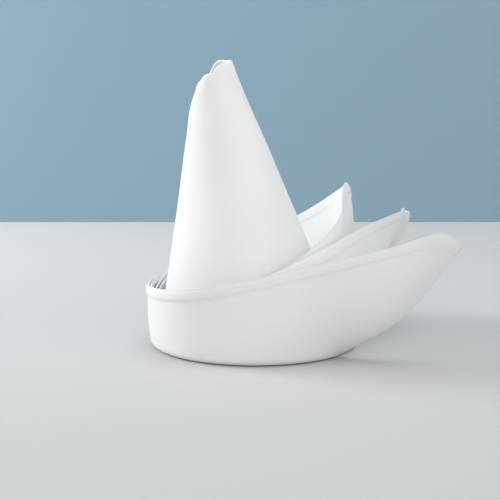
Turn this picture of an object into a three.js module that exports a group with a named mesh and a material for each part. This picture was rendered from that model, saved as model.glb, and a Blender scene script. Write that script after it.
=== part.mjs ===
import * as THREE from "three";

// A square dinner napkin, folded on its diagonal, rolled into a leaning cone, with the open edges
// turned up around the foot as a brim. Millimetres, +Z up, -Y the front, standing on z = 0.

// ---- the cloth ----
const SIDE = 400; // side of the flat square
const SHEET = 1.0; // thickness of one layer
const PITCH = 1.4; // from the middle of one layer to the middle of the next
const BEND = 0.9; // radius of the tightest turn at the foot, at the middle of its layer

// ---- the cone ----
const APEX = [-27.1, 0, 190.7]; // where the generators meet, above the open top
const RING = 54.2; // radius of the foot of the cone on z = 0
const APEX_GAP = 39; // from the apex to the middle of the diagonal fold, on the flat cloth
const CORNER_AZIMUTH = 25; // where the two free corners leave the foot, degrees from +X towards +Y
const ROLL = 3.75; // degrees round the cone for each degree of the flat fan

// ---- two places where the cloth has stretched out of its plain roll ----
// the open top stands higher than the plain roll at its front and lower at its back
const RIM_LIFTS = [
  { fan: 36, width: 12, lift: 5.2 },
  { fan: -27, width: 6.5, lift: -3.2 },
];
const BELLY = 4.2; // how far the free folded edge of the front flap bows outwards and down
const BELLY_WAY = [0.72, 0, -0.69];
const BELLY_FROM = 208; // the bowed part, along the diagonal fold from its middle
const BELLY_TO = 284;

// ---- how fine the facets are ----
const FAN_STEP = 3.2; // degrees of the flat fan between two columns, 30 columns to a turn
const FULL_COLUMNS = 24; // whole steps to each side of the middle
const END_COLUMNS = [77.8, 78.4, 78.9, 79.4, 79.9, 80.5, 81.2, 81.8, 82.05]; // closer columns beside the folded tips
const FRONT_COLUMNS = [78.1, 78.65, 79.15]; // more of them at the front tip, where its fold goes round the foot
const CONE_ROWS = 4;
const BRIM_ROWS = 5;
const TURN_ANGLES = [-45, -15, 15, 45]; // rows of the turn at the foot, degrees from its lowest line
const CLEAR = 1.5; // no row lies closer than this to the diagonal fold

// ---- the brim: one row per station along the open edge ----
// fan: degrees on the flat cloth, lean: of the brim where it leaves the foot, from the vertical,
// x, y, z: of the hem. OUTER is the layer that lies outside on the cone, INNER its partner.
const OUTER = [
  { fan: -82.1, lean: 59, x: 103.8, y: -49.8, z: 62.1 },
  { fan: -79.8, lean: 59, x: 92.7, y: -52.9, z: 68.8 },
  { fan: -76.0, lean: 25, x: 64.5, y: -51.3, z: 60.2 },
  { fan: -68.0, lean: 8, x: 17.2, y: -55.9, z: 49.4 },
  { fan: -58.0, lean: 9, x: -27.7, y: -54.4, z: 40.2 },
  { fan: -45.0, lean: 4, x: -56.0, y: -13.9, z: 33.9 },
  { fan: -32.0, lean: 10, x: -49.3, y: 37.8, z: 33.3 },
  { fan: -20.0, lean: 25, x: -13.3, y: 76.1, z: 44.0 },
  { fan: -10.0, lean: 32, x: 30.9, y: 85.7, z: 63.3 },
  { fan: -4.0, lean: 35, x: 53.5, y: 82.8, z: 79.0 },
  { fan: -2.0, lean: 29, x: 55.0, y: 72.5, z: 82.0 },
  { fan: 0.0, lean: 22, x: 54.4, y: 59.7, z: 83.9 },
  { fan: 4.0, lean: 11, x: 50.0, y: 33.4, z: 84.3 },
  { fan: 10.0, lean: 4, x: 46.6, y: 2.6, z: 70.4 },
  { fan: 20.0, lean: 2, x: 24.6, y: -34.6, z: 54.2 },
  { fan: 32.0, lean: 3, x: -11.5, y: -53.9, z: 41.3 },
  { fan: 45.0, lean: 2, x: -45.6, y: -31.7, z: 31.0 },
  { fan: 58.0, lean: 2, x: -51.8, y: 13.8, z: 31.8 },
  { fan: 68.0, lean: 9, x: -36.5, y: 50.3, z: 44.5 },
  { fan: 76.0, lean: 21, x: -11.8, y: 76.7, z: 60.1 },
  { fan: 82.1, lean: 21, x: 12.6, y: 77.5, z: 82.6 },
];
const INNER = [
  { fan: -82.1, lean: 60, x: 103.9, y: -51.6, z: 62.2 },
  { fan: -79.8, lean: 60, x: 93.8, y: -54.7, z: 69.1 },
  { fan: -76.0, lean: 27, x: 65.6, y: -53.0, z: 60.7 },
  { fan: -68.0, lean: 10, x: 17.4, y: -57.6, z: 49.7 },
  { fan: -58.0, lean: 12, x: -28.6, y: -55.8, z: 40.2 },
  { fan: -45.0, lean: 6, x: -57.6, y: -14.0, z: 34.3 },
  { fan: -32.0, lean: 13, x: -49.6, y: 41.3, z: 33.2 },
  { fan: -20.0, lean: 27, x: -3.9, y: 81.8, z: 40.0 },
  { fan: -10.0, lean: 35, x: 56.5, y: 91.3, z: 37.3 },
  { fan: -4.0, lean: 36, x: 91.7, y: 83.3, z: 48.3 },
  { fan: -2.0, lean: 36, x: 94.0, y: 76.0, z: 62.4 },
  { fan: 0.0, lean: 35, x: 89.6, y: 65.0, z: 67.4 },
  { fan: 4.0, lean: 25, x: 83.9, y: 35.9, z: 69.2 },
  { fan: 10.0, lean: 6, x: 64.5, y: 2.8, z: 66.4 },
  { fan: 20.0, lean: 4, x: 28.9, y: -35.4, z: 54.7 },
  { fan: 32.0, lean: 5, x: -11.1, y: -55.6, z: 40.8 },
  { fan: 45.0, lean: 4, x: -47.1, y: -32.9, z: 31.4 },
  { fan: 58.0, lean: 4, x: -53.7, y: 14.2, z: 32.3 },
  { fan: 68.0, lean: 11, x: -37.7, y: 51.7, z: 44.6 },
  { fan: 76.0, lean: 22, x: -12.2, y: 78.6, z: 60.1 },
  { fan: 82.1, lean: 22, x: 13.0, y: 79.3, z: 82.5 },
];

// ---- helpers ----
const RAD = Math.PI / 180;
const HALF = SIDE / Math.SQRT2; // half of the diagonal
const END_FAN = Math.atan2(HALF, APEX_GAP) / RAD; // the ray through a folded tip
const ONCE = 360 / ROLL; // degrees of the flat fan that go once round
const add = (a, b, k = 1) => [a[0] + k * b[0], a[1] + k * b[1], a[2] + k * b[2]];
const sub = (a, b) => add(a, b, -1);
const mul = (a, k) => [a[0] * k, a[1] * k, a[2] * k];
const dot = (a, b) => a[0] * b[0] + a[1] * b[1] + a[2] * b[2];
const cross = (a, b) => [a[1] * b[2] - a[2] * b[1], a[2] * b[0] - a[0] * b[2], a[0] * b[1] - a[1] * b[0]];
const len = (a) => Math.hypot(a[0], a[1], a[2]);
const unit = (a) => mul(a, 1 / len(a));

// The flat cloth in polar form about the apex: where a ray meets the diagonal fold and the hem.
const foldAt = (fan) => APEX_GAP / Math.cos(fan * RAD);
const hemAt = (fan) => (APEX_GAP + HALF) / Math.SQRT2 / Math.cos((Math.abs(fan) - 45) * RAD);

// How far a layer lies inside the outermost one: the roll winds inwards from its far end.
const depthAt = (fan, inner) => PITCH * ((2 * (END_FAN - fan)) / ONCE + inner);

// How far a point of the cone is lifted, and how far a point of the front flap is bowed out.
function lift(fan, s) {
  let rise = 0;
  for (const r of RIM_LIFTS) rise += r.lift * Math.exp(-(((fan - r.fan) / r.width) ** 2));
  return rise * Math.max(1 - (s - foldAt(fan)) / 90, 0) ** 2;
}
function bow(fan, s) {
  const along = Math.min(Math.max((-s * Math.sin(fan * RAD) - BELLY_FROM) / (BELLY_TO - BELLY_FROM), 0), 1);
  const inside = s * Math.cos(fan * RAD) - APEX_GAP;
  return BELLY * Math.sin(Math.PI * along) ** 2 * Math.exp(-((inside / 22) ** 2));
}

// Height of the common centre of the turns at the foot, so that the largest turn there lies level
// on z = 0. Past the end of the roll the height eases down to the layers that go on.
function centreHeight(fan) {
  const first = fan - ONCE * Math.floor((fan + END_FAN) / ONCE);
  const u = Math.min(Math.max((first - (ONCE - END_FAN - 9)) / 9, 0), 1);
  const largest = BEND + depthAt(first, 1) + 2 * PITCH * u * u * (3 - 2 * u) + SHEET / 2;
  return largest * Math.cos(15 * RAD);
}

// Smooth curve through the rows of a table, with three-point slopes.
function smooth(table, keys) {
  const x = table.map((r) => r.fan);
  const y = table.map((r) => keys.map((k) => r[k]));
  const n = x.length;
  const slope = y.map(() => keys.map(() => 0));
  for (let c = 0; c < keys.length; c++) {
    const d = [];
    for (let i = 0; i + 1 < n; i++) d.push((y[i + 1][c] - y[i][c]) / (x[i + 1] - x[i]));
    for (let i = 1; i + 1 < n; i++) {
      const h0 = x[i] - x[i - 1];
      const h1 = x[i + 1] - x[i];
      slope[i][c] = (d[i - 1] * h1 + d[i] * h0) / (h0 + h1);
    }
    slope[0][c] = 1.5 * d[0] - 0.5 * slope[1][c];
    slope[n - 1][c] = 1.5 * d[n - 2] - 0.5 * slope[n - 2][c];
  }
  return (at) => {
    const v = Math.min(Math.max(at, x[0]), x[n - 1]);
    let i = 0;
    while (i < n - 2 && v >= x[i + 1]) i++;
    const h = x[i + 1] - x[i];
    const u = (v - x[i]) / h;
    const w = [2 * u ** 3 - 3 * u ** 2 + 1, (u ** 3 - 2 * u ** 2 + u) * h, 3 * u ** 2 - 2 * u ** 3, (u ** 3 - u ** 2) * h];
    return keys.map((_, k) => w[0] * y[i][k] + w[1] * slope[i][k] + w[2] * y[i + 1][k] + w[3] * slope[i + 1][k]);
  };
}
const KEYS = ["lean", "x", "y", "z"];
const hems = [smooth(OUTER, KEYS), smooth(INNER, KEYS)];

// One ray of the flat cloth in its rolled place: straight down the cone, round the turn at the
// foot, and up the brim to its hem.
function ray(fan, inner) {
  const th = (CORNER_AZIMUTH - ROLL * fan) * RAD;
  const out = [Math.cos(th), Math.sin(th), 0];
  const down = sub(mul(out, RING), APEX);
  const length = len(down);
  const g = mul(down, 1 / length);
  const slope = Math.atan2(dot(down, out), APEX[2]);
  const n = [out[0] * Math.cos(slope), out[1] * Math.cos(slope), Math.sin(slope)];
  const p = [out[0] * Math.sin(slope), out[1] * Math.sin(slope), -Math.cos(slope)];
  const depth = depthAt(fan, inner);
  const rho = BEND + depth;
  const startS = (length * (APEX[2] - centreHeight(fan) + BEND * Math.sin(slope))) / APEX[2];
  const centre = add(add(APEX, g, startS), n, BEND);
  const [tilt, ...hem] = hems[inner](fan);
  const lean = tilt * RAD;
  const sweep = Math.PI - lean - slope;
  // off: distance from the middle of the layer, towards the side that is outermost on the cone
  const turnAt = (a, off) => add(add(centre, n, -(rho - off) * Math.cos(a)), p, (rho - off) * Math.sin(a));
  const coneAt = (s, off) => add(add(APEX, g, s - lift(fan, s)), n, off - depth);
  const end = turnAt(sweep, 0);
  const up = [out[0] * Math.sin(lean), out[1] * Math.sin(lean), Math.cos(lean)];
  const mid = add(end, up, 0.42 * len(sub(hem, end)));
  const endS = length + Math.min(end[2] / Math.cos(Math.min(lean, 1.2)), 12);
  const hemS = hemAt(fan);
  const brimAt = (w) =>
    add(add(add(mul(end, (1 - w) ** 2), mid, 2 * w * (1 - w)), hem, w * w), BELLY_WAY, bow(fan, endS + (hemS - endS) * w));
  return { coneAt, turnAt, brimAt, startS, endS, hemS, foldS: foldAt(fan), sweep, lowest: Math.PI / 2 - slope };
}

// The middle of the layer at distance s from the apex along a ray, for points the rows leave free.
function middle(fan, inner, s) {
  const r = ray(fan, inner);
  if (s <= r.startS) return r.coneAt(s, 0);
  if (s < r.endS) return r.turnAt((r.sweep * (s - r.startS)) / (r.endS - r.startS), 0);
  return r.brimAt(Math.min((s - r.endS) / (r.hemS - r.endS), 1));
}

// Normal of the layer, towards the side that is outermost on the cone.
function normalAt(fan, inner, s) {
  const f = Math.min(Math.max(fan, 0.05 - END_FAN), END_FAN - 0.05);
  const across = sub(middle(f + 0.05, inner, s), middle(f - 0.05, inner, s));
  const along = sub(middle(f, inner, s + 0.2), middle(f, inner, s - 0.2));
  return unit(cross(across, along));
}

// One column of the two skins of the sheet, from the hem of the outer layer up to the diagonal
// fold and down to the hem of the inner layer. key orders the rows of neighbouring columns.
function column(fan) {
  const half = SHEET / 2;
  const sides = [0, 1].map((inner) => {
    const r = ray(fan, inner);
    const face = inner ? -half : half; // the skin that is the outside of the folded sheet
    const rows = [];
    const both = (key, s, at) => rows.push({ key, s, front: at(face), back: at(-face) });
    for (let i = 0; i < CONE_ROWS; i++) {
      const s = r.foldS + ((r.startS - r.foldS) * i) / CONE_ROWS;
      if (r.foldS < r.startS - 4) both(i / CONE_ROWS, s, (off) => r.coneAt(s, off));
    }
    const turn = [0, ...TURN_ANGLES.map((a) => r.lowest + a * RAD)];
    turn.forEach((a, i) => {
      const s = r.startS + ((r.endS - r.startS) * a) / r.sweep;
      if (a < r.sweep - 0.12) both(1 + i / 5, s, (off) => r.turnAt(a, off));
    });
    for (let i = 0; i <= BRIM_ROWS; i++) {
      const w = i / BRIM_ROWS;
      const s = r.endS + (r.hemS - r.endS) * w;
      if (i === 0) both(2, s, (off) => r.turnAt(r.sweep, off));
      else {
        const n = normalAt(fan, inner, Math.min(s, r.hemS - 0.25));
        both(2 + w, s, (off) => add(r.brimAt(w), n, off));
      }
    }
    // the fold's own row comes between the last row left out and the first one kept
    const kept = rows.filter((row) => row.s > r.foldS + CLEAR);
    const before = Math.max(0, ...rows.filter((row) => row.s <= r.foldS + CLEAR).map((row) => row.key));
    return { kept, key: (before + kept[0].key) / 2, fold: middle(fan, inner, r.foldS) };
  });
  const centre = mul(add(sides[0].fold, sides[1].fold), 0.5);
  const apart = sub(sides[0].fold, sides[1].fold);
  const radius = len(apart) / 2;
  const n = unit(apart);
  const edge = (f) => add(middle(f, 0, foldAt(f)), middle(f, 1, foldAt(f)));
  const f = Math.min(Math.max(fan, 0.05 - END_FAN), END_FAN - 0.05);
  const beyond = unit(cross(sub(edge(f + 0.05), edge(f - 0.05)), n));
  const round = (key, a) => {
    const d = add(mul(n, Math.cos(a)), beyond, Math.sin(a));
    return { key, front: add(centre, d, radius + half), back: add(centre, d, radius - half) };
  };
  return [
    ...sides[0].kept.reverse().map((row) => ({ ...row, key: -row.key })),
    round(-sides[0].key, 0),
    round(0, Math.PI / 2),
    round(sides[1].key, Math.PI),
    ...sides[1].kept,
  ];
}

// Two skins over all columns, closed by a strip along every free edge.
function sheet(columns) {
  const points = [];
  const ids = columns.map((rows) => rows.map(({ key, front, back }) => ({ key, id: points.push([front, back]) - 1 })));
  const tris = [];
  for (let c = 0; c + 1 < ids.length; c++) {
    const [a, b] = [ids[c], ids[c + 1]];
    let [i, j] = [0, 0];
    while (i < a.length - 1 || j < b.length - 1) {
      const [ka, kb] = [a[i + 1]?.key ?? Infinity, b[j + 1]?.key ?? Infinity];
      const stepA = Math.abs(ka - kb) < 1e-6 ? ka <= 0 : ka < kb;
      if (stepA) tris.push([a[i].id, b[j].id, a[++i].id]);
      else tris.push([a[i].id, b[j].id, b[++j].id]);
    }
  }
  const used = new Map();
  for (const [p, q, r] of tris) for (const [u, v] of [[p, q], [q, r], [r, p]]) used.set(u + "_" + v, [u, v]);
  const all = [];
  const vertex = (id, side) => 2 * id + side;
  for (const [p, q, r] of tris) {
    all.push([vertex(p, 0), vertex(r, 0), vertex(q, 0)]);
    all.push([vertex(p, 1), vertex(q, 1), vertex(r, 1)]);
  }
  for (const [u, v] of used.values()) {
    if (used.has(v + "_" + u)) continue;
    all.push([vertex(v, 0), vertex(u, 1), vertex(u, 0)]);
    all.push([vertex(v, 0), vertex(v, 1), vertex(u, 1)]);
  }
  return { positions: points.flat(), triangles: all };
}

const fans = [];
for (let k = -FULL_COLUMNS; k <= FULL_COLUMNS; k++) fans.push(k * FAN_STEP);
// beside each folded tip, and one turn away from it, so that the facets of all layers line up
for (const f of END_COLUMNS) for (const g of [f, f - ONCE, -f, ONCE - f]) if (fans.every((h) => Math.abs(h - g) > 0.01)) fans.push(g);
for (const f of FRONT_COLUMNS) fans.push(-f, ONCE - f);
fans.sort((a, b) => a - b);
const napkin = sheet(fans.map(column));

// The origin goes to the bottom centre of the box round the napkin.
const box = new THREE.Box3().setFromPoints(napkin.positions.map((p) => new THREE.Vector3(...p)));
const middleX = (box.min.x + box.max.x) / 2;
const middleY = (box.min.y + box.max.y) / 2;
const geometry = new THREE.BufferGeometry();
geometry.setAttribute(
  "position",
  new THREE.Float32BufferAttribute(napkin.positions.flatMap(([x, y, z]) => [x - middleX, y - middleY, z - box.min.z]), 3),
);
geometry.setIndex(napkin.triangles.flat());
geometry.computeVertexNormals();

const mesh = new THREE.Mesh(geometry, new THREE.MeshStandardMaterial({ color: 0xf2f3f5, roughness: 0.85, metalness: 0 }));
mesh.name = "napkin";
const group = new THREE.Group();
group.add(mesh);
export default group;
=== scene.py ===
import math

import bpy
import numpy as np
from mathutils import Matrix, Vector


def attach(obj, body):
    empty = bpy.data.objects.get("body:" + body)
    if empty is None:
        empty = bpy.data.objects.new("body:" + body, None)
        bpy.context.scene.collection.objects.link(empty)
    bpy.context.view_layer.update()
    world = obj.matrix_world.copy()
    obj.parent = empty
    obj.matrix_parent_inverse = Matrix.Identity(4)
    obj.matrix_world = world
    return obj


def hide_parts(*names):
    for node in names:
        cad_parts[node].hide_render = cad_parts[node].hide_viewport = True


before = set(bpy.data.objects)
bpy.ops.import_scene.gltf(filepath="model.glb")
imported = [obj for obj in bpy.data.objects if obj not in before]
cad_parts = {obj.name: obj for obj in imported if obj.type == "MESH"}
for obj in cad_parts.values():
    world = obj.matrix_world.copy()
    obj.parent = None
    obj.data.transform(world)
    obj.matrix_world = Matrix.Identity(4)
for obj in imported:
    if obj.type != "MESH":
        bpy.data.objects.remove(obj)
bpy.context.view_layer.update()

# ---------------------------------------------------------------------------------------------
# The cloth. Lengths in mm until the mesh is made. A square of cotton folded on its diagonal and
# rolled: rays of the flat cloth run down the cone, round a turn at the foot and up the brim.
# ---------------------------------------------------------------------------------------------
SIDE = 400.0
CLOTH = 0.46  # one layer of the cloth
PITCH = 0.85  # from layer to layer on the cone
BEND = 0.7  # radius of the tightest turn at the foot
HEM = 4.6  # width of the sewn hem
HEM_THICK = 1.5  # three layers of cloth and a little air
WELT = 0.42  # how far the hem stands proud of the outer face of the brim
FOLD_RADIUS = 0.75  # the diagonal fold isn't pressed flat

APEX = np.array([-27.1, 0.0, 190.7])
RING = 54.2
APEX_GAP = 39.0
CORNER_AZIMUTH = 25.0
ROLL = 3.75
CORNER_RADIUS = (14.0, 8.5)  # the corners are hemmed thick and come out round: back flap, middle flap

# places where the cloth has stretched out of its plain roll: the open top, whose front rim has a
# dip that shows the rim behind it, and the free folded edge of the front flap
RIM_LIFTS = [  # fan in the middle, half width in fan, lift in mm
    (36.0, 12.0, 5.2),
    (-27.0, 6.5, -3.2),
    (33.0, 4.6, -3.6),
    (-15.0, 7.5, 2.0),
]
BELLY, BELLY_FROM, BELLY_TO = 4.2, 208.0, 284.0
BELLY_WAY = np.array([0.72, 0.0, -0.69])

# fan, lean, x, y, z of the hem, one row per station (degrees and mm)
OUTER = [
    (-82.1, 59, 103.8, -49.8, 62.1),
    (-79.8, 59, 92.7, -52.9, 68.8),
    (-76.0, 25, 64.5, -51.3, 60.2),
    (-68.0, 8, 17.2, -55.9, 49.4),
    (-58.0, 9, -27.7, -54.4, 40.2),
    (-45.0, 4, -56.0, -13.9, 33.9),
    (-32.0, 10, -49.3, 37.8, 33.3),
    (-20.0, 25, -13.3, 76.1, 44.0),
    (-10.0, 32, 30.9, 85.7, 63.3),
    (-4.0, 35, 53.5, 82.8, 79.0),
    (-2.0, 29, 55.0, 72.5, 82.0),
    (0.0, 22, 54.4, 59.7, 83.9),
    (4.0, 11, 50.0, 33.4, 84.3),
    (10.0, 4, 46.6, 2.6, 70.4),
    (20.0, 2, 24.6, -34.6, 54.2),
    (32.0, 3, -11.5, -53.9, 41.3),
    (45.0, 2, -45.6, -31.7, 31.0),
    (58.0, 2, -51.8, 13.8, 31.8),
    (68.0, 9, -36.5, 50.3, 44.5),
    (76.0, 21, -11.8, 76.7, 60.1),
    (82.1, 21, 12.6, 77.5, 82.6),
]
INNER = [
    (-82.1, 60, 103.9, -51.6, 62.2),
    (-79.8, 60, 93.8, -54.7, 69.1),
    (-76.0, 27, 65.6, -53.0, 60.7),
    (-68.0, 10, 17.4, -57.6, 49.7),
    (-58.0, 12, -28.6, -55.8, 40.2),
    (-45.0, 6, -57.6, -14.0, 34.3),
    (-32.0, 13, -49.6, 41.3, 33.2),
    (-20.0, 27, -3.9, 81.8, 40.0),
    (-10.0, 35, 56.5, 91.3, 37.3),
    (-4.0, 36, 91.7, 83.3, 48.3),
    (-2.0, 36, 94.0, 76.0, 62.4),
    (0.0, 35, 89.6, 65.0, 67.4),
    (4.0, 25, 83.9, 35.9, 69.2),
    (10.0, 6, 64.5, 2.8, 66.4),
    (20.0, 4, 28.9, -35.4, 54.7),
    (32.0, 5, -11.1, -55.6, 40.8),
    (45.0, 4, -47.1, -32.9, 31.4),
    (58.0, 4, -53.7, 14.2, 32.3),
    (68.0, 11, -37.7, 51.7, 44.6),
    (76.0, 22, -12.2, 78.6, 60.1),
    (82.1, 22, 13.0, 79.3, 82.5),
]

RAD = math.pi / 180
HALF = SIDE / math.sqrt(2)
END_FAN = math.degrees(math.atan2(HALF, APEX_GAP))
ONCE = 360 / ROLL
OFFSET = np.array([21.33, 15.25, 0.00])  # middle of the box round the napkin
UP = np.array([0.0, 0.0, 1.0])


def spline(table):
    """Smooth curve through the rows, with three-point slopes."""
    t = np.array(table, float)
    x, y = t[:, 0], t[:, 1:]
    h = np.diff(x)
    d = (y[1:] - y[:-1]) / h[:, None]
    m = np.empty_like(y)
    m[1:-1] = (d[:-1] * h[1:, None] + d[1:] * h[:-1, None]) / (h[:-1] + h[1:])[:, None]
    m[0] = 1.5 * d[0] - 0.5 * m[1]
    m[-1] = 1.5 * d[-1] - 0.5 * m[-2]

    def at(v):
        v = np.clip(v, x[0], x[-1])
        i = np.clip(np.searchsorted(x, v, side="right") - 1, 0, len(x) - 2)
        u = ((v - x[i]) / h[i])[:, None]
        k = h[i][:, None]
        return (
            (2 * u**3 - 3 * u**2 + 1) * y[i]
            + (u**3 - 2 * u**2 + u) * k * m[i]
            + (3 * u**2 - 2 * u**3) * y[i + 1]
            + (u**3 - u**2) * k * m[i + 1]
        )

    return at


HEMS = (spline(OUTER), spline(INNER))


def fold_at(fan):
    return APEX_GAP / np.cos(fan * RAD)


def hem_at(fan):
    return (APEX_GAP + HALF) / math.sqrt(2) / np.cos((np.abs(fan) - 45) * RAD)


def depth_at(fan, inner):
    return PITCH * (2 * (END_FAN - fan) / ONCE + inner)


def lift(fan, s):
    rise = sum(mm * np.exp(-(((fan - at) / width) ** 2)) for at, width, mm in RIM_LIFTS)
    return rise * np.clip(1 - (s - fold_at(fan)) / 90, 0, 1) ** 2


def bow(fan, s):
    along = np.clip((-s * np.sin(fan * RAD) - BELLY_FROM) / (BELLY_TO - BELLY_FROM), 0, 1)
    inside = s * np.cos(fan * RAD) - APEX_GAP
    return BELLY * np.sin(math.pi * along) ** 2 * np.exp(-((inside / 22) ** 2))


def round_hem(fan, inner):
    """The hem with its corner rounded, on the ray at fan."""
    radius = CORNER_RADIUS[inner]
    c = APEX_GAP + HALF - radius * math.sqrt(2)
    side = c * np.sin(fan * RAD)
    inside = np.maximum(radius**2 - side**2, 0)
    arc = c * np.cos(fan * RAD) + np.sqrt(inside)
    return np.where(np.abs(side) < radius / math.sqrt(2), arc, hem_at(fan))


def centre_height(fan):
    first = fan - ONCE * np.floor((fan + END_FAN) / ONCE)
    u = np.clip((first - (ONCE - END_FAN - 9)) / 9, 0, 1)
    largest = BEND + depth_at(first, 1) + 2 * PITCH * u * u * (3 - 2 * u) + CLOTH / 2
    return largest


def norm(v):
    return v / (np.linalg.norm(v, axis=-1, keepdims=True) + 1e-12)


def rays(fan, inner):
    """All that the rays at these fans need, as arrays."""
    th = (CORNER_AZIMUTH - ROLL * fan) * RAD
    out = np.stack([np.cos(th), np.sin(th), 0 * th], -1)
    down = out * RING - APEX
    length = np.linalg.norm(down, axis=-1)
    g = down / length[:, None]
    slope = np.arctan2((down * out).sum(-1), APEX[2])
    n = out * np.cos(slope)[:, None] + UP * np.sin(slope)[:, None]
    p = out * np.sin(slope)[:, None] - UP * np.cos(slope)[:, None]
    depth = depth_at(fan, inner)
    rho = BEND + depth
    start = length * (APEX[2] - centre_height(fan) + BEND * np.sin(slope)) / APEX[2]
    centre = APEX + g * start[:, None] + n * BEND
    q = HEMS[inner](fan)
    lean, hem = q[:, 0] * RAD, q[:, 1:]
    sweep = math.pi - lean - slope
    end = centre - n * (rho * np.cos(sweep))[:, None] + p * (rho * np.sin(sweep))[:, None]
    up = out * np.sin(lean)[:, None] + UP * np.cos(lean)[:, None]
    mid = end + up * (0.42 * np.linalg.norm(hem - end, axis=-1))[:, None]
    end_s = length + np.minimum(end[:, 2] / np.cos(np.minimum(lean, 1.2)), 12)
    return dict(
        fan=fan, g=g, n=n, p=p, depth=depth, rho=rho, start=start, centre=centre, sweep=sweep,
        end=end, mid=mid, hem=hem, end_s=end_s, hem_s=hem_at(fan), fold_s=fold_at(fan),
    )


def middle(fan, inner, s):
    """Middle of the layer at distance s from the apex along the rays at fan."""
    r = rays(fan, inner)
    cone = APEX + r["g"] * (s - lift(fan, s))[:, None] - r["n"] * r["depth"][:, None]
    a = r["sweep"] * np.clip((s - r["start"]) / (r["end_s"] - r["start"]), 0, 1)
    turn = r["centre"] - r["n"] * (r["rho"] * np.cos(a))[:, None] + r["p"] * (r["rho"] * np.sin(a))[:, None]
    w = np.clip((s - r["end_s"]) / (r["hem_s"] - r["end_s"]), 0, 1)[:, None]
    brim = r["end"] * (1 - w) ** 2 + r["mid"] * 2 * w * (1 - w) + r["hem"] * w**2
    brim = brim + BELLY_WAY * bow(fan, s)[:, None]
    k = s[:, None]
    return np.where(k <= r["start"][:, None], cone, np.where(k < r["end_s"][:, None], turn, brim))


# Gentle unevenness: one smooth field in space that moves all layers together, so that they stay
# apart. Each row: wave vector (cycles per 100 mm), phase, amplitude in mm and its direction.
WAVES = [
    ((0.9, 0.3, 0.5), 0.3, 0.55, (0.5, -0.8, 0.0)),
    ((-0.5, 0.8, 1.1), 1.9, 0.45, (0.9, 0.4, 0.0)),
    ((1.6, -0.7, 0.9), 4.1, 0.30, (0.2, -1.0, 0.0)),
    ((0.4, 1.5, -1.3), 2.6, 0.28, (-0.8, -0.5, 0.1)),
    ((2.3, 0.9, -0.6), 5.2, 0.16, (0.4, -0.9, 0.1)),
    ((-1.1, 2.1, 2.0), 0.9, 0.14, (0.7, -0.6, 0.0)),
]


def sway(p):
    out = p.copy()
    rise = np.clip(p[:, 2] / 25, 0, 1)[:, None]
    for k, phase, amp, way in WAVES:
        wave = np.sin(2 * math.pi * (p @ np.array(k)) / 100 + phase)
        out += rise * amp * wave[:, None] * np.array(way)
    return out


# Small dents and swellings where fingers pinched the cloth: fan, distance from the apex, half
# width (degrees of fan), half length (mm), slant (mm per degree), height in mm.
DENTS = [
    (34.5, 60.0, 3.4, 3.6, 0.9, -0.5),
    (29.0, 65.0, 4.5, 4.5, 0.5, 0.50),
    (41.0, 68.0, 4.0, 6.0, -0.6, -0.1),
    (24.0, 80.0, 6.0, 9.0, 0.3, -0.35),
    (47.0, 96.0, 5.0, 14.0, 0.0, 0.2),
    (3.2, 292.0, 1.3, 9.0, 3.0, 0.9),
    (6.4, 283.0, 1.5, 8.0, -3.0, -0.8),
    (0.8, 270.0, 1.6, 12.0, 0.0, -0.4),
    (-2.2, 284.0, 1.8, 16.0, 0.0, 0.6),
    (-4.8, 280.0, 1.6, 11.0, 2.0, -0.6),
    (9.5, 268.0, 2.2, 8.0, 2.0, 0.6),
]


def dents(fan, s):
    out = 0 * s
    for f0, s0, wide, high, slant, mm in DENTS:
        out = out + mm * np.exp(-(((fan - f0) / wide) ** 2) - ((s - s0 - slant * (fan - f0)) / high) ** 2)
    return out


def surface(fan, inner, s):
    r = rays(fan, inner)
    return sway(middle(fan, inner, s) + r["n"] * dents(fan, s)[:, None])


def normals(fan, inner, s):
    """Towards the side that is outermost on the cone."""
    f = np.clip(fan, -END_FAN + 0.03, END_FAN - 0.03)
    across = surface(f + 0.03, inner, s) - surface(f - 0.03, inner, s)
    top = np.minimum(s, hem_at(f) - 0.3)
    along = surface(f, inner, top + 0.25) - surface(f, inner, top - 0.25)
    return norm(np.cross(across, along))


def hem_distance(fan, inner, s):
    """Distance on the flat cloth to the nearest edge, whose corner is rounded."""
    radius = CORNER_RADIUS[inner]
    x = np.abs(s * np.sin(fan * RAD))
    y = APEX_GAP + HALF - s * np.cos(fan * RAD)
    a, b = (y + x) / math.sqrt(2), (y - x) / math.sqrt(2)
    corner = radius - np.hypot(radius - a, radius - b)
    return np.where((a < radius) & (b < radius), corner, np.minimum(a, b))


def ease(x):
    x = np.clip(x, 0, 1)
    return x * x * (3 - 2 * x)


def roll(d):
    """The hem's profile at distance d from the edge: it rises at the seam and rounds off at the edge."""
    return ease((HEM + 0.8 - d) / 1.8) * (0.5 + 0.5 * ease((d + 0.2) / 1.8))


def thickness(fan, d):
    """Of the sheet: fuller in some places than in others, and most at the two free corners."""
    full = 0.42 + 0.5 * np.exp(-(((np.abs(fan) - 50) / 13) ** 2)) + 0.12 * np.sin(fan * 0.41)
    full = full + 1.1 * np.exp(-((fan / 2.4) ** 2))
    return CLOTH + (HEM_THICK - CLOTH) * roll(d) * full


def welt(fan, d):
    """Extra roll of the hem on the outer face of the outermost brim, where nothing lies against it."""
    return WELT * roll(d) * ease((-30 - fan) / 12) * (1 - 0.85 * ease((-55 - fan) / 16)) * (0.85 + 0.15 * np.sin(fan * 0.55))


# ---- the mesh: one column of rows for each fan ----
CONE_ROWS = 30
TURN_ROWS = 12
BRIM_ROWS = 15
HEM_ROWS = [7.2, 6.2, 5.5, 5.1, 4.8, 4.6, 4.4, 4.15, 3.85, 3.5, 2.8, 2.0, 1.2, 0.55]
CLEAR = 0.9


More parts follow.
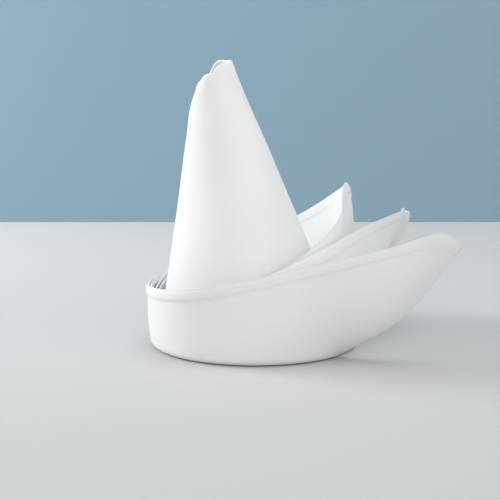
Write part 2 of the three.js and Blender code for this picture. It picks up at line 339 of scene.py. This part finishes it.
def fans():
    core = list(np.arange(-76.8, 76.81, 0.8)) + [x for g in (0.2, 0.4, 0.6, 1.0, 1.2, 1.4, 2.0) for x in (g, -g)]
    for g in (77.3, 77.8, 78.2, 78.6, 78.95, 79.3, 79.6, 79.9, 80.15, 80.4, 80.65, 80.85, 81.05, 81.25,
              81.42, 81.56, 81.7, 81.8, 81.9, 81.98, 82.05, 82.1):
        core += [g, -g]
    return np.array(sorted(core))


def column(fan):
    """Rows from the hem of the outer layer up to the diagonal fold and down to the inner hem."""
    sides = []
    for inner in (0, 1):
        f = np.array([fan])
        r = rays(f, inner)
        start, end, hem, fold = (float(r[k][0]) for k in ("start", "end_s", "hem_s", "fold_s"))
        hem = float(round_hem(f, inner)[0])
        cos = math.cos((abs(fan) - 45) * RAD)
        brim_top = hem - 9.0 / cos
        rows = [(i / CONE_ROWS, start * i / CONE_ROWS) for i in range(CONE_ROWS)]
        rows += [(1 + i / TURN_ROWS, start + (end - start) * i / TURN_ROWS) for i in range(TURN_ROWS)]
        rows += [(2 + i / BRIM_ROWS, end + (brim_top - end) * i / BRIM_ROWS) for i in range(BRIM_ROWS + 1)]
        rows += [(4 + i, hem - d / cos) for i, d in enumerate(HEM_ROWS)]
        kept = [x for x in rows if x[1] > fold + CLEAR]
        before = max([0] + [x[0] for x in rows if x[1] <= fold + CLEAR])
        first = kept[0][0] if kept else 40
        kept.append((50, hem))
        s = np.array([x[1] for x in kept])
        ff = np.full(len(s), fan)
        p = surface(ff, inner, s)
        n = normals(ff, inner, s)
        # the two layers bow apart a little beside the fold
        bow = max(FOLD_RADIUS - PITCH / 2, 0) * np.exp(-(((s - fold) / 3.5) ** 2)) * (1 if inner == 0 else -1)
        p = p + n * bow[:, None]
        d = hem_distance(ff, inner, s)
        t = thickness(ff, d)
        t[-1] *= 0.6
        if inner:
            p = p - n * (welt(ff, d) / 2)[:, None]
            t = t + welt(ff, d)
        sides.append(dict(key=[x[0] for x in kept], s=s, p=p, n=n, t=t, fold=surface(f, inner, np.array([fold]))[0], first=(before + first) / 2))
    a, b = sides
    centre = (a["fold"] + b["fold"]) / 2
    n = norm(a["fold"] - b["fold"])
    e = [surface(np.array([g]), i, fold_at(np.array([g])))[0] for g in (max(fan - 0.03, -END_FAN + 0.001), min(fan + 0.03, END_FAN - 0.001)) for i in (0, 1)]
    edge = (e[2] + e[3]) - (e[0] + e[1])
    beyond = norm(np.cross(edge, n))
    gap = max(FOLD_RADIUS, np.linalg.norm(a["fold"] - b["fold"]) / 2)
    out = []
    for k, s, p, m, t in reversed(list(zip(a["key"], a["s"], a["p"], a["n"], a["t"]))):
        out.append((-k, fan, 0, s, p + m * t / 2, p - m * t / 2))
    fs = float(fold_at(np.array([fan]))[0])
    for k, ang in ((-a["first"], 0), (-a["first"] / 2, 45), (0, 90), (b["first"] / 2, 135), (b["first"], 180)):
        d = n * math.cos(ang * RAD) + beyond * math.sin(ang * RAD)
        inner = 0 if ang < 90 else 1
        out.append((k, fan, inner, fs, centre + d * (gap + CLOTH / 2), centre + d * (gap - CLOTH / 2)))
    for k, s, p, m, t in zip(b["key"], b["s"], b["p"], b["n"], b["t"]):
        out.append((k, fan, 1, s, p - m * t / 2, p + m * t / 2))
    return out


def flat_uv(fan, inner, s):
    """Place on the flat square, in metres along its two sides."""
    x = s * math.sin(fan * RAD)
    y = max(s * math.cos(fan * RAD) - APEX_GAP, 0) * (1 if inner == 0 else -1)
    return ((x + y) / math.sqrt(2) / 1000 + 0.2, (x - y) / math.sqrt(2) / 1000 + 0.2)


def build():
    cols = [column(f) for f in fans()]
    front, back, uv, ids = [], [], [], []
    for rows in cols:
        line = []
        for key, fan, inner, s, a, b in rows:
            line.append((key, len(front)))
            front.append(a)
            back.append(b)
            uv.append(flat_uv(fan, inner, s))
        ids.append(line)
    count = len(front)
    tris = []
    for a, b in zip(ids, ids[1:]):
        i = j = 0
        while i < len(a) - 1 or j < len(b) - 1:
            ka = a[i + 1][0] if i < len(a) - 1 else 1e9
            kb = b[j + 1][0] if j < len(b) - 1 else 1e9
            if abs(ka - kb) < 1e-6:
                tris.append((a[i][1], b[j][1], b[j + 1][1], a[i + 1][1]))
                i, j = i + 1, j + 1
            elif ka < kb:
                tris.append((a[i][1], b[j][1], a[i + 1][1]))
                i += 1
            else:
                tris.append((a[i][1], b[j][1], b[j + 1][1]))
                j += 1
    used = {}
    for f in tris:
        for u, v in zip(f, f[1:] + f[:1]):
            used[(u, v)] = True
    # rim: a rounded edge between the two skins
    rim_points, rim_uv, rim_id = [], [], {}

    def rim(i):
        if i not in rim_id:
            rim_id[i] = 2 * count + len(rim_points)
            rim_points.append(None)
            rim_uv.append(i)
        return rim_id[i]

    faces, face_uv = [], []
    for f in tris:
        g = tuple(reversed(f))
        faces.append(g)
        face_uv.append([uv[i] for i in g])
        faces.append(tuple(count + i for i in f))
        face_uv.append([uv[i] for i in f])
    edges = [(u, v) for u, v in used if (v, u) not in used]
    nxt = {u: v for u, v in edges}
    prv = {v: u for u, v in edges}
    for u, v in edges:
        ru, rv = rim(u), rim(v)
        faces.append((v, rv, ru, u)[::-1])
        face_uv.append([uv[i] for i in (v, v, u, u)][::-1])
        faces.append((rv, count + v, count + u, ru)[::-1])
        face_uv.append([uv[i] for i in (v, v, u, u)][::-1])
    F, B = np.array(front), np.array(back)
    centre = (F + B) / 2
    mid_all = centre.mean(0)
    for i, where in rim_id.items():
        t = norm(centre[nxt[i]] - centre[prv[i]])
        n = norm(F[i] - B[i])
        beyond = np.cross(t, n)
        r = np.linalg.norm(F[i] - B[i]) / 2
        rim_points[where - 2 * count] = centre[i] + beyond * r * 0.8
    V = np.concatenate([F, B, np.array(rim_points)])
    return V, faces, face_uv


V, faces, face_uv = build()
V = V - np.array([OFFSET[0], OFFSET[1], V[:, 2].min()])
mesh = bpy.data.meshes.new("napkin_cloth")
mesh.from_pydata([tuple(p / 1000) for p in V], [], faces)
layer = mesh.uv_layers.new(name="cloth")
flat = [c for f in face_uv for p in f for c in p]
layer.data.foreach_set("uv", flat)
mesh.polygons.foreach_set("use_smooth", [True] * len(faces))
mesh.update()
napkin = bpy.data.objects.new("napkin_cloth", mesh)
bpy.context.scene.collection.objects.link(napkin)


# ---------------------------------------------------------------------------------------------
# Material: crisp white cotton. The UV map is the flat square in metres.
# ---------------------------------------------------------------------------------------------
def cotton():
    mat = bpy.data.materials.new("white_cotton")
    mat.use_nodes = True
    nt = mat.node_tree
    nt.nodes.clear()
    new = nt.nodes.new
    link = nt.links.new
    out = new("ShaderNodeOutputMaterial")
    bsdf = new("ShaderNodeBsdfPrincipled")
    link(bsdf.outputs[0], out.inputs["Surface"])
    bsdf.inputs["Roughness"].default_value = 0.82
    bsdf.inputs["IOR"].default_value = 1.45
    bsdf.inputs["Specular IOR Level"].default_value = 0.25
    bsdf.inputs["Sheen Weight"].default_value = 0.12
    bsdf.inputs["Sheen Roughness"].default_value = 0.45
    uv = new("ShaderNodeUVMap")
    uv.uv_map = "cloth"
    sep = new("ShaderNodeSeparateXYZ")
    link(uv.outputs[0], sep.inputs[0])

    def op(kind, a, b=None, clamp=False):
        m = new("ShaderNodeMath")
        m.operation = kind
        m.use_clamp = clamp
        for k, x in enumerate((a, b)):
            if x is None:
                continue
            if isinstance(x, (int, float)):
                m.inputs[k].default_value = x
            else:
                link(x, m.inputs[k])
        return m.outputs[0]

    u, v = sep.outputs[0], sep.outputs[1]
    # plain weave: warp and weft cross over and under, 0.42 mm from thread to thread
    thread = 2 * math.pi / 0.00042
    wu = op("SINE", op("MULTIPLY", u, thread))
    wv = op("SINE", op("MULTIPLY", v, thread))
    weave = op("MULTIPLY", wu, wv)
    # slubs: threads that are a little thicker here and there
    slub = new("ShaderNodeTexNoise")
    slub.inputs["Scale"].default_value = 1.0
    slub.inputs["Detail"].default_value = 2.0
    mapping = new("ShaderNodeMapping")
    mapping.inputs["Scale"].default_value = (2300, 60, 1)
    link(uv.outputs[0], mapping.inputs[0])
    link(mapping.outputs[0], slub.inputs["Vector"])
    slub2 = new("ShaderNodeTexNoise")
    slub2.inputs["Scale"].default_value = 1.0
    slub2.inputs["Detail"].default_value = 2.0
    mapping2 = new("ShaderNodeMapping")
    mapping2.inputs["Scale"].default_value = (60, 2300, 1)
    link(uv.outputs[0], mapping2.inputs[0])
    link(mapping2.outputs[0], slub2.inputs["Vector"])
    # distance to the nearest edge of the square, for the stitching
    edge = op("MINIMUM", op("MINIMUM", u, op("SUBTRACT", 0.4, u)), op("MINIMUM", v, op("SUBTRACT", 0.4, v)))
    across = op("ABSOLUTE", op("SUBTRACT", edge, 0.00385))
    along_u = op("LESS_THAN", op("MINIMUM", v, op("SUBTRACT", 0.4, v)), op("MINIMUM", u, op("SUBTRACT", 0.4, u)))
    run = op("ADD", op("MULTIPLY", along_u, u), op("MULTIPLY", op("SUBTRACT", 1.0, along_u), v))
    dash = op("LESS_THAN", op("FRACT", op("MULTIPLY", run, 1 / 0.0023)), 0.78)
    line = op("SUBTRACT", 1.0, op("MULTIPLY", across, 1 / 0.00024), clamp=True)
    stitch = op("MULTIPLY", line, dash)
    height = op("ADD", op("MULTIPLY", weave, 0.35), op("MULTIPLY", op("ADD", slub.outputs["Fac"], slub2.outputs["Fac"]), 0.5))
    height = op("ADD", height, op("MULTIPLY", stitch, 2.2))
    bump = new("ShaderNodeBump")
    bump.inputs["Strength"].default_value = 0.35
    bump.inputs["Distance"].default_value = 0.00006
    link(height, bump.inputs["Height"])
    link(bump.outputs[0], bsdf.inputs["Normal"])
    # colour: white, a touch uneven from thread to thread and over the cloth
    broad = new("ShaderNodeTexNoise")
    broad.inputs["Scale"].default_value = 14.0
    broad.inputs["Detail"].default_value = 3.0
    link(uv.outputs[0], broad.inputs["Vector"])
    tone = op("ADD", op("MULTIPLY", op("SUBTRACT", broad.outputs["Fac"], 0.5), 0.05),
              op("MULTIPLY", op("SUBTRACT", op("ADD", slub.outputs["Fac"], slub2.outputs["Fac"]), 1.0), 0.06))
    tone = op("ADD", tone, 0.5, clamp=True)
    ramp = new("ShaderNodeMix")
    ramp.data_type = "RGBA"
    ramp.inputs["A"].default_value = (0.82, 0.82, 0.82, 1)
    ramp.inputs["B"].default_value = (0.905, 0.905, 0.905, 1)
    link(tone, ramp.inputs["Factor"])
    link(ramp.outputs["Result"], bsdf.inputs["Base Color"])
    return mat


mesh.materials.append(cotton())

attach(napkin, "root")
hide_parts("napkin")


# ---------------------------------------------------------------------------------------------
# Stage: pale floor, soft light from the left and a little behind, camera at the photo's angle.
# ---------------------------------------------------------------------------------------------
def plain(name, color, rough=0.7):
    mat = bpy.data.materials.new(name)
    mat.use_nodes = True
    b = mat.node_tree.nodes["Principled BSDF"]
    b.inputs["Base Color"].default_value = (*color, 1)
    b.inputs["Roughness"].default_value = rough
    b.inputs["Specular IOR Level"].default_value = 0.2
    return mat


floor_mesh = bpy.data.meshes.new("floor")
R = 6.0
BACK = 0.53
floor_mesh.from_pydata([(-R, -R, 0), (R, -R, 0), (R, R, 0), (-R, R, 0)], [], [(0, 1, 2, 3)])
floor = bpy.data.objects.new("floor", floor_mesh)
bpy.context.scene.collection.objects.link(floor)
floor_mesh.materials.append(plain("pale_floor", (0.56, 0.555, 0.55)))
backdrop_mesh = bpy.data.meshes.new("backdrop")
backdrop_mesh.from_pydata([(-R, BACK, -0.01), (R, BACK, -0.01), (R, BACK, R), (-R, BACK, R)], [], [(0, 1, 2, 3)])
backdrop = bpy.data.objects.new("backdrop", backdrop_mesh)
bpy.context.scene.collection.objects.link(backdrop)
backdrop_mesh.materials.append(plain("pale_backdrop", (0.25, 0.38, 0.475)))

world = bpy.data.worlds.new("soft_white")
bpy.context.scene.world = world
world.use_nodes = True
world.node_tree.nodes["Background"].inputs[0].default_value = (1.0, 0.995, 0.985, 1)
world.node_tree.nodes["Background"].inputs[1].default_value = 0.93


def area(name, at, to, size, power, color=(1, 1, 1)):
    data = bpy.data.lights.new(name, "AREA")
    data.shape = "DISK"
    data.size = size
    data.energy = power
    data.color = color
    o = bpy.data.objects.new(name, data)
    o.location = at
    o.rotation_euler = (Vector(to) - Vector(at)).to_track_quat("-Z", "Y").to_euler()
    bpy.context.scene.collection.objects.link(o)
    return o


az = math.radians(160)
area("key_window", (1.0 * math.cos(az), 1.0 * math.sin(az), 0.5), (0, 0, 0.07), 0.5, 7.4, (1.0, 1.0, 1.0))
area("top", (0.25, 0.05, 1.3), (0.03, 0, 0.05), 0.9, 4.8, (1.0, 1.0, 0.99))
az = math.radians(-38)
area("fill", (1.3 * math.cos(az), 1.3 * math.sin(az), 1.0), (0, 0, 0.05), 1.2, 1.5, (1.0, 0.995, 0.985))

# camera, from the fitted view: target, distance, height angle, focal length in pixels of a 500 px picture
TARGET = (np.array([-3.2, 0.0, 52.0]) - OFFSET) / 1000
DISTANCE, ELEVATION = 0.650, math.radians(8.4)
cam_data = bpy.data.cameras.new("camera")
cam_data.sensor_width = 36
cam_data.lens = 1181.8 * 36 / 500
cam_data.clip_start = 0.01
cam_data.clip_end = 100
cam = bpy.data.objects.new("camera", cam_data)
cam.location = Vector(TARGET) + Vector((0, -DISTANCE * math.cos(ELEVATION), DISTANCE * math.sin(ELEVATION)))
cam.rotation_euler = (math.pi / 2 - ELEVATION, 0, 0)
bpy.context.scene.collection.objects.link(cam)
bpy.context.scene.camera = cam
bpy.context.scene.view_settings.view_transform = "Standard"
